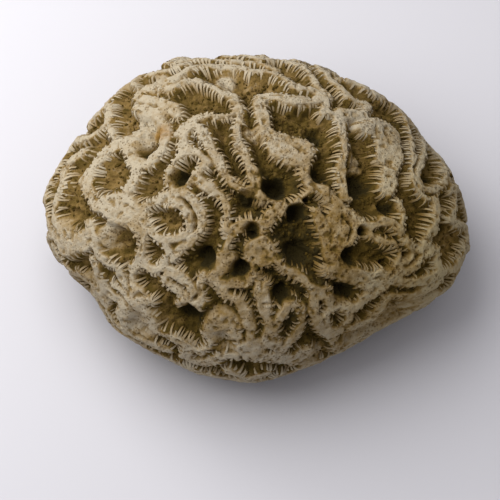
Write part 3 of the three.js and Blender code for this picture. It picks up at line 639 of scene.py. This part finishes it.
def blades(places, ends, minor):
    """A closed thin plate for each septum, its top edge sloping down into the valley."""
    count = len(places)
    starts, ways, halves = places[:, :3], places[:, 3:6], places[:, 6]
    share = np.linspace(0, 1, SEPTUM_STATIONS)
    reach = SEPTUM_START + (ends[:, None] - SEPTUM_START) * share
    spots = starts[:, None] + ways[:, None] * (halves[:, None] + reach)[..., None]
    wander = 0.22 * noise_vectors(spots.reshape(-1, 3), 1.2, 41)
    inner = np.tile(share, count)
    surface = dome_points(spots.reshape(-1, 3) + wander * inner[:, None])
    distance = crest_distance(surface)
    out = unit(surface)
    across = unit(np.cross(np.repeat(ways, SEPTUM_STATIONS, axis=0), out))
    worn = np.repeat(rng.uniform(-0.05, 0.2, count) + 0.15 * minor, SEPTUM_STATIONS)
    teeth = rng.uniform(-0.06, 0.12, len(surface))
    top = top_depth(surface, distance) + 0.14 + (worn + teeth) * np.minimum(1, inner * 3) + 0.7 * inner ** 2
    foot = top_depth(surface, distance) + 1.3 * GAP_DEPTH + 0.5
    thick = np.where(np.repeat(minor, SEPTUM_STATIONS), 0.2, 0.25) * (1 - 0.4 * inner)
    thick *= rng.uniform(0.8, 1.2, len(surface))
    left = surface + across * thick[:, None]
    right = surface - across * thick[:, None]
    corners = [(left, foot), (left, top), (right, top), (right, foot)]
    points = np.stack([edge - out * depth[:, None] for edge, depth in corners], axis=1)
    # These depths set the septa's colour, deeper being darker. The feet, at foot + 6, are painted shade down
    # in the slots.
    depths = np.stack([foot + 6, top, top, foot + 6], axis=1)
    tone = np.repeat(rng.uniform(-1, 1, count), SEPTUM_STATIONS * 4)
    return points.reshape(-1, 3), blade_faces(count), depths.reshape(-1), tone


def crumbs():
    """Lumps of spongy columella strewn along the valley floors."""
    picked = (BODY_DISTANCE > 0.9) & (BODY_HOLLOW < 0.8) & (BODY_GAP > 0.35)
    picked &= BODY_POINTS[:, 2] > -CUT_BELOW_MIDDLE + 0.6
    spots = rng.choice(np.flatnonzero(picked), CRUMBS, replace=False)
    centres = BODY_POINTS[spots]
    ball, faces = geodesic_ball(2)
    sizes = rng.uniform(*CRUMB_SIZES, (CRUMBS, 1, 1)) * rng.uniform(0.6, 1.4, (CRUMBS, 1, 3))
    lumpy = ball[None] * rng.uniform(0.75, 1.25, (CRUMBS, len(ball), 1)) * sizes
    points = centres[:, None] + lumpy + unit(centres)[:, None] * 0.12
    faces = faces[None] + len(ball) * np.arange(CRUMBS)[:, None, None]
    # One deep value for every crumb, so its colour is the dark of the valley floor: painted shade.
    depth = np.full(len(ball) * CRUMBS, 4.6)
    tone = np.repeat(rng.uniform(-1, 1, CRUMBS), len(ball))
    return points.reshape(-1, 3), faces.reshape(-1, 3), depth, tone


def make_columella():
    points, faces, depth, tone = crumbs()
    columella = mesh_object("columella", points, faces, [("depth", depth), ("tone", tone)])
    columella.data.shade_smooth()
    return columella


def blade_faces(count):
    """Four sided tubes of quads along the stations, closed at both ends."""
    ring = np.arange(4)
    quads = []
    for station in range(SEPTUM_STATIONS - 1):
        a = 4 * station + ring
        b = 4 * station + (ring + 1) % 4
        quads.append(np.stack([a, b, b + 4, a + 4], axis=1))
    last = 4 * (SEPTUM_STATIONS - 1)
    quads.append(np.array([[3, 2, 1, 0], [last, last + 1, last + 2, last + 3]]))
    quads = np.concatenate(quads)
    offset = 4 * SEPTUM_STATIONS * np.arange(count)
    return (quads[None] + offset[:, None, None]).reshape(-1, 4)


def make_septa(name, places, ends, minor):
    points, faces, depth, tone = blades(places, ends, minor)
    points[:, 2] = np.maximum(points[:, 2], -CUT_BELOW_MIDDLE + 0.02)
    return mesh_object(name, points, faces, [("depth", depth), ("tone", tone)])


# ---------------------------------------------------------------- materials

def node(tree, kind, **values):
    made = tree.nodes.new(kind)
    for key, value in values.items():
        setattr(made, key, value)
    return made


def ramp(tree, fac, stops):
    made = tree.nodes.new("ShaderNodeValToRGB")
    while len(made.color_ramp.elements) < len(stops):
        made.color_ramp.elements.new(0.5)
    for element, (position, colour) in zip(made.color_ramp.elements, stops):
        element.position = position
        element.color = (*colour, 1)
    tree.links.new(fac, made.inputs[0])
    return made.outputs[0]


def srgb(red, green, blue):
    return tuple(((c / 255 + 0.055) / 1.055) ** 2.4 if c > 10 else c / 3295 for c in (red, green, blue))


CREAM = srgb(155, 144, 123)
TAN = srgb(138, 121, 92)
BROWN = srgb(112, 90, 50)
OLIVE = srgb(72, 57, 19)
DARK = srgb(40, 33, 11)
PORE_SHADE = (0.5, 0.4, 0.25)
RUST = srgb(132, 96, 44)

# Stain is strongest round this place on the sheet, and fades out over this many millimetres
STAINED_PLACE = [8, -5]
STAIN_SPREAD = 34
STAIN_STRENGTH = 0.38

# A touch of rust, and a broad yellow tint that is painted warm shade on the side away from the window, by
# their places on the sheet and how far they spread
RUSTY_PLACE = [-18.8, 16.8]
RUST_SPREAD = 3.4
WARM_SHADE_PLACE = [34, -10]
YELLOW_SPREAD = 30
YELLOW_TINT = (1.0, 0.95, 0.74)


def noise_node(tree, size, detail=2.0):
    made = node(tree, "ShaderNodeTexNoise")
    made.inputs["Scale"].default_value = 1 / (size * MM)
    made.inputs["Detail"].default_value = detail
    tree.links.new(tree.nodes["place"].outputs["Object"], made.inputs["Vector"])
    return made.outputs["Fac"]


def maths(tree, operation, first, second=None, third=None, clamp=False):
    made = node(tree, "ShaderNodeMath", operation=operation, use_clamp=clamp)
    for socket, value in zip(made.inputs, (first, second, third)):
        if value is None:
            continue
        if isinstance(value, (int, float)):
            socket.default_value = value
        else:
            tree.links.new(value, socket)
    return made.outputs[0]


def mixed(tree, share, first, second, blend="MIX"):
    made = node(tree, "ShaderNodeMix", data_type="RGBA", blend_type=blend)
    for socket, value in zip((made.inputs[0], made.inputs[6], made.inputs[7]), (share, first, second)):
        if isinstance(value, (int, float)):
            socket.default_value = value
        elif isinstance(value, tuple):
            socket.default_value = (*value, 1)
        else:
            tree.links.new(value, socket)
    return made.outputs[2]


def attribute(tree, name):
    return node(tree, "ShaderNodeAttribute", attribute_name=name).outputs["Fac"]


def pore_mask(tree, spacing, largest):
    """Small round pores in clusters: 1 inside them."""
    pores = node(tree, "ShaderNodeTexVoronoi")
    pores.inputs["Scale"].default_value = 1 / (spacing * MM)
    tree.links.new(tree.nodes["place"].outputs["Object"], pores.inputs["Vector"])
    size = maths(tree, "MULTIPLY_ADD", noise_node(tree, 3.5, 2), 2.4 * largest, -0.5 * largest)
    return maths(tree, "MULTIPLY", maths(tree, "SUBTRACT", size, pores.outputs["Distance"]), 9, clamp=True)


def start_material(name):
    material = bpy.data.materials.new(name)
    material.use_nodes = True
    tree = material.node_tree
    node(tree, "ShaderNodeTexCoord").name = "place"
    return material, tree, tree.nodes["Principled BSDF"]


def finish_material(tree, shader, colour, height, bump_depth):
    tree.links.new(colour, shader.inputs["Base Color"])
    shader.inputs["Roughness"].default_value = 0.92
    shader.inputs["Specular IOR Level"].default_value = 0.1
    bump = node(tree, "ShaderNodeBump")
    bump.inputs["Strength"].default_value = 0.7
    bump.inputs["Distance"].default_value = bump_depth * MM
    tree.links.new(height, bump.inputs["Height"])
    tree.links.new(bump.outputs["Normal"], shader.inputs["Normal"])


def distance_from(tree, place):
    """How far each point is from this place on the sheet, in metres."""
    away = node(tree, "ShaderNodeVectorMath", operation="DISTANCE")
    middle = (dome_above_sheet(np.array([place], float))[0] + MIDDLE) * MM
    away.inputs[1].default_value = middle.tolist()
    tree.links.new(tree.nodes["place"].outputs["Object"], away.inputs[0])
    return away.outputs["Value"]


def tinted(tree, colour):
    """The colour tinted yellow on the side away from the window, a painted warm shade, and with a touch of
    rust.
    """
    side = maths(tree, "MULTIPLY_ADD", distance_from(tree, WARM_SHADE_PLACE), -1 / (YELLOW_SPREAD * MM), 1.1,
                 clamp=True)
    colour = mixed(tree, side, colour, YELLOW_TINT, "MULTIPLY")
    near = maths(tree, "MULTIPLY_ADD", distance_from(tree, RUSTY_PLACE), -1 / (RUST_SPREAD * MM), 0.8)
    patchy = maths(tree, "MULTIPLY_ADD", noise_node(tree, 1.2, 3), 1.2, -0.6)
    return mixed(tree, maths(tree, "ADD", near, patchy, clamp=True), colour, RUST)


def staining(tree, broad, fine):
    """Patches of stain, and more of it round the stained place."""
    patches = maths(tree, "ADD", maths(tree, "MULTIPLY_ADD", noise_node(tree, 8, 3), 2 * broad, -broad),
                    maths(tree, "MULTIPLY_ADD", noise_node(tree, 1.3, 3), 2 * fine, -fine))
    fade = -STAIN_STRENGTH / (STAIN_SPREAD * MM)
    stain = maths(tree, "MULTIPLY_ADD", distance_from(tree, STAINED_PLACE), fade, STAIN_STRENGTH)
    return maths(tree, "ADD", patches, maths(tree, "MAXIMUM", stain, 0.0))


def skeleton_material():
    material, tree, shader = start_material("coral_skeleton")
    # Darker where the wall opens between the septa, in the pits and down the bored holes: dirt and painted
    # shade in these recesses.
    deep = maths(tree, "MULTIPLY", attribute(tree, "hollow"), 0.26)
    level = maths(tree, "ADD", maths(tree, "MULTIPLY", attribute(tree, "gap"), 0.62),
                  maths(tree, "ADD", deep, staining(tree, 0.3, 0.35)), clamp=True)
    colour = ramp(tree, level, [(0.0, CREAM), (0.2, TAN), (0.42, BROWN), (0.7, OLIVE), (1.0, DARK)])
    pores = pore_mask(tree, 0.6, 0.38)
    # The pores are painted dark: painted shade for holes too small for the mesh.
    colour = mixed(tree, maths(tree, "MULTIPLY", pores, 0.7), colour, PORE_SHADE, "MULTIPLY")
    height = maths(tree, "SUBTRACT", noise_node(tree, 0.4, 4), pores)
    finish_material(tree, shader, tinted(tree, colour), height, 0.35)
    return material


def septa_material():
    material, tree, shader = start_material("coral_septa")
    tone = maths(tree, "MULTIPLY", attribute(tree, "tone"), 0.08)
    # The septa darken with depth toward their feet in the slots, and the crumbs with them: painted shade.
    deep = maths(tree, "MULTIPLY_ADD", attribute(tree, "depth"), 0.29, -0.08)
    level = maths(tree, "ADD", maths(tree, "ADD", deep, tone), staining(tree, 0.3, 0.25), clamp=True)
    colour = ramp(tree, level, [(0.0, CREAM), (0.3, TAN), (0.65, BROWN), (1.0, OLIVE)])
    finish_material(tree, shader, tinted(tree, colour), noise_node(tree, 0.3, 3), 0.08)
    return material


# ---------------------------------------------------------------- the scene

def finish_piece(piece, material):
    piece.data.materials.append(material)
    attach(piece, "root")
    return piece


def make_floor():
    mesh = bpy.data.meshes.new("floor")
    half = 3.0
    mesh.from_pydata([(-half, -half, 0), (half, -half, 0), (half, half, 0), (-half, half, 0)], [],
                     [(0, 1, 2, 3)])
    floor = bpy.data.objects.new("floor", mesh)
    bpy.context.collection.objects.link(floor)
    material = bpy.data.materials.new("pale_floor")
    material.use_nodes = True
    material.node_tree.nodes["Principled BSDF"].inputs["Base Color"].default_value = (*srgb(189, 188, 193), 1)
    material.node_tree.nodes["Principled BSDF"].inputs["Roughness"].default_value = 0.9
    mesh.materials.append(material)


def make_camera():
    camera = bpy.data.objects.new("camera", bpy.data.cameras.new("camera"))
    bpy.context.collection.objects.link(camera)
    up = Vector((0, UP_Y, UP_Z))
    back = Vector((0, -UP_Z, UP_Y))
    aim = Vector(MIDDLE * MM) + Vector((-1.2 * MM, 0, 0)) - 6.6 * MM * up
    camera.location = aim + back * CAMERA_DISTANCE
    camera.rotation_euler = (math.pi / 2 - SHEET_ELEVATION, 0, 0)
    camera.data.sensor_width = SENSOR_WIDTH
    camera.data.lens = SENSOR_WIDTH * CAMERA_DISTANCE / FRAME_WIDTH
    camera.data.clip_end = 10
    bpy.context.scene.camera = camera


def area_light(name, place, target, size, power, colour):
    light = bpy.data.lights.new(name, "AREA")
    light.shape = "DISK"
    light.size = size
    light.energy = power
    light.color = colour
    lamp = bpy.data.objects.new(name, light)
    lamp.location = place
    lamp.rotation_euler = (Vector(target) - Vector(place)).to_track_quat("-Z", "Y").to_euler()
    bpy.context.collection.objects.link(lamp)


def soft_room():
    """A pale room, brighter towards the window."""
    world = bpy.data.worlds.new("soft_room")
    world.use_nodes = True
    tree = world.node_tree
    towards = node(tree, "ShaderNodeVectorMath", operation="DOT_PRODUCT")
    towards.inputs[1].default_value = Vector((-0.6, 0.3, 0.74))
    tree.links.new(node(tree, "ShaderNodeTexCoord").outputs["Generated"], towards.inputs[0])
    strength = maths(tree, "MULTIPLY_ADD", towards.outputs["Value"], 0.4, 0.455)
    tree.links.new(strength, tree.nodes["Background"].inputs["Strength"])
    tree.nodes["Background"].inputs["Color"].default_value = (0.98, 0.97, 1.0, 1)
    bpy.context.scene.world = world


def make_lights():
    area_light("window", (-0.12, 0.045, 0.22), (0, 0, 0.02), 0.34, 0.8, (1.0, 0.99, 0.97))
    area_light("corner", (-0.15, 0.15, 0.14), (-0.03, 0.03, 0), 0.12, 0.2, (1.0, 0.99, 0.98))
    soft_room()


make_camera()
make_lights()
make_floor()
blade_material = septa_material()
body_material = skeleton_material()
for part in make_body():
    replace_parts(finish_piece(part, body_material), "brain_coral")
places, ends, minor = septa_shape()
finish_piece(make_septa("septa_major", places[~minor], ends[~minor], minor[~minor]), blade_material)
finish_piece(make_columella(), blade_material)
finish_piece(make_septa("septa_minor", places[minor], ends[minor], minor[minor]), blade_material)
bpy.context.scene.view_settings.view_transform = "Standard"
